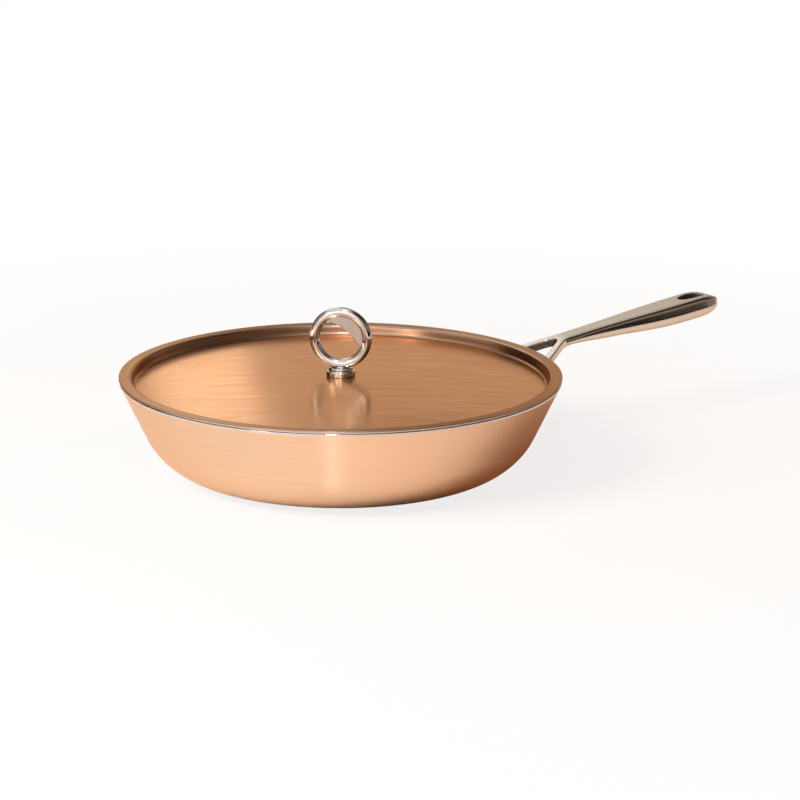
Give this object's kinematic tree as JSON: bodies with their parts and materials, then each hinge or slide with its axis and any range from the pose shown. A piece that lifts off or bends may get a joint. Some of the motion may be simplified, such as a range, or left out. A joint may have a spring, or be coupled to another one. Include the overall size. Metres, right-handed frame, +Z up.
{
  "type": "frying pan with lid",
  "caption": "Clad copper frying pan with flared wall, forked cast steel handle with a hanging hole, and a sunken lift-off copper lid carrying a ring knob.",
  "frame": {"origin": "centre of the pan's flat base, on the surface it stands on", "axes": "+Z up, +X from the pan's centre along the handle, +Y to the left of the handle"},
  "size_m": [0.449, 0.2806, 0.1054],
  "materials": {
    "brushed_copper": "copper with a fine brushed finish",
    "aluminium_core": "rolled, bonded between the other plies",
    "satin_steel": "satin brushed",
    "cast_steel": "cast, satin polished",
    "polished_steel": "mirror polished",
    "zinc_steel": "zinc plated"
  },
  "bodies": {
    "pan": {"pan_copper_shell": "brushed_copper", "pan_aluminium_core": "aluminium_core", "pan_steel_liner": "satin_steel", "handle_casting": "cast_steel", "handle_rivet_left": "polished_steel", "handle_rivet_right": "polished_steel"},
    "lid": {"lid_copper_cover": "brushed_copper", "lid_steel_liner": "satin_steel", "knob_flat_washer": "zinc_steel", "knob_lock_washer": "zinc_steel", "knob_screw": "zinc_steel", "knob_ring": "polished_steel", "knob_collar": "polished_steel"}
  },
  "joints": [
    {"name": "lid_lift", "type": "slide", "parent": "pan", "child": "lid", "axis": [0, 0, 1], "range_m": [0, 0.12]}
  ]
}
